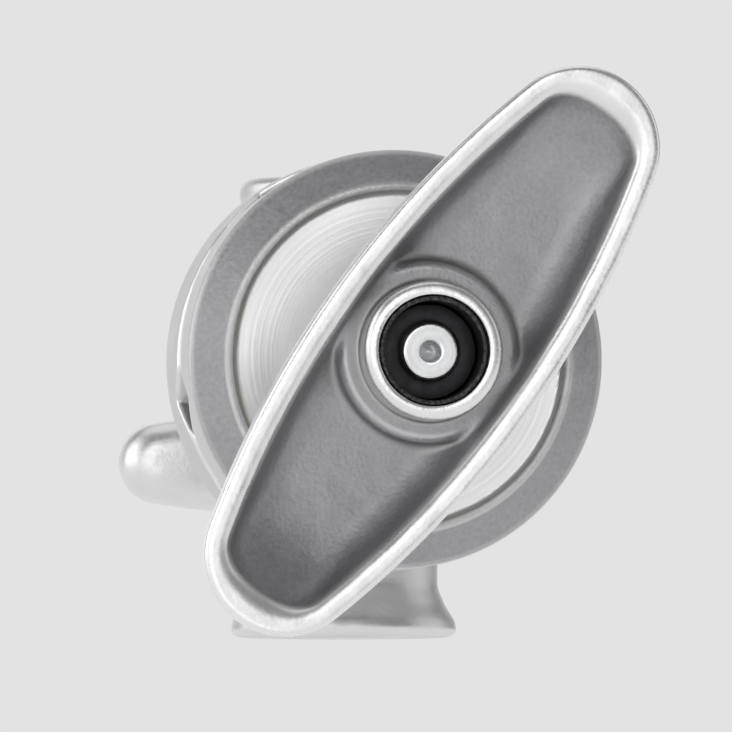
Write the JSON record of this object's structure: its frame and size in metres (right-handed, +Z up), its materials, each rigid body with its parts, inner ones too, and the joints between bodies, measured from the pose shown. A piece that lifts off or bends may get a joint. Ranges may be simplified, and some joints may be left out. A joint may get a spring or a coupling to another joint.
{
  "type": "umbrella swivel bracket",
  "caption": "Cast aluminium grip head: a socket for a stand pin, grooved swivel jaws that clamp an umbrella shaft, a big front T-handle and a small rear locking handle.",
  "frame": {"origin": "where the stand pin's vertical axis crosses the jaw stud's horizontal axis, at the middle of the socket's stop face, which rests on top of the pin", "axes": "+Z up along the stand pin, -Y forward along the jaw stud towards the big T-handle, +X to the right as seen from the front"},
  "size_m": [0.0692, 0.1244, 0.086],
  "materials": {
    "cast_aluminium": "satin, tumbled casting",
    "zinc_steel": "bright zinc plate",
    "hardened_steel": "ground",
    "spring_steel": "drawn wire",
    "black_steel": "black oxide",
    "brass": "turned",
    "friction_fibre": "pressed fibre"
  },
  "bodies": {
    "base": {"socket_body": "cast_aluminium", "stud_roll_pin": "hardened_steel", "main_stud": "zinc_steel", "stud_stop_ring": "black_steel", "friction_disc": "friction_fibre", "lock_bush": "zinc_steel"},
    "rear_jaw": {"inner_jaw": "cast_aluminium", "jaw_spring": "spring_steel"},
    "front_jaw": {"outer_jaw": "cast_aluminium", "jaw_guide_pin_1": "hardened_steel", "jaw_guide_pin_2": "hardened_steel", "rear_thrust_washer": "hardened_steel"},
    "bearing": {"bearing_cage": "brass", "bearing_roller_1": "hardened_steel", "bearing_roller_2": "hardened_steel", "bearing_roller_3": "hardened_steel", "bearing_roller_4": "hardened_steel", "bearing_roller_5": "hardened_steel", "bearing_roller_6": "hardened_steel", "bearing_roller_7": "hardened_steel", "bearing_roller_8": "hardened_steel", "bearing_roller_9": "hardened_steel", "bearing_roller_10": "hardened_steel", "bearing_roller_11": "hardened_steel", "bearing_roller_12": "hardened_steel"},
    "handle": {"t_handle": "cast_aluminium", "handle_nut": "black_steel", "front_thrust_washer": "hardened_steel"},
    "pad": {"lock_pad": "brass"},
    "lock": {"lock_screw": "zinc_steel", "lock_t_handle": "cast_aluminium", "lock_cross_pin": "hardened_steel"}
  },
  "joints": [
    {"name": "jaw_swivel", "type": "hinge", "parent": "base", "child": "rear_jaw", "pos_m": [0, -0.03, 0], "axis": [0, -1, 0], "continuous": true},
    {"name": "jaw_open", "type": "slide", "parent": "rear_jaw", "child": "front_jaw", "axis": [0, -1, 0], "range_m": [-0.00239, 0.00706], "deforming": ["jaw_spring"]},
    {"name": "bearing_travel", "type": "slide", "parent": "base", "child": "bearing", "axis": [0, -1, 0], "range_m": [-0.00239, 0.00706]},
    {"name": "handle_turn", "type": "hinge", "parent": "bearing", "child": "handle", "pos_m": [0, -0.06, 0], "axis": [0, -1, 0], "range_deg": [-540, 1600]},
    {"name": "pad_travel", "type": "slide", "parent": "base", "child": "pad", "axis": [0, 1, 0], "range_m": [-0.003, 0.004]},
    {"name": "lock_turn", "type": "hinge", "parent": "pad", "child": "lock", "pos_m": [0, 0.02, -0.013], "axis": [0, 1, 0], "range_deg": [-720, 960]}
  ],
  "couplings": [
    {"joint": "jaw_open", "follows": "handle_turn", "m_per_rad": 0.00025266},
    {"joint": "bearing_travel", "follows": "handle_turn", "m_per_rad": 0.00025266},
    {"joint": "pad_travel", "follows": "lock_turn", "m_per_rad": 0.00023873}
  ]
}
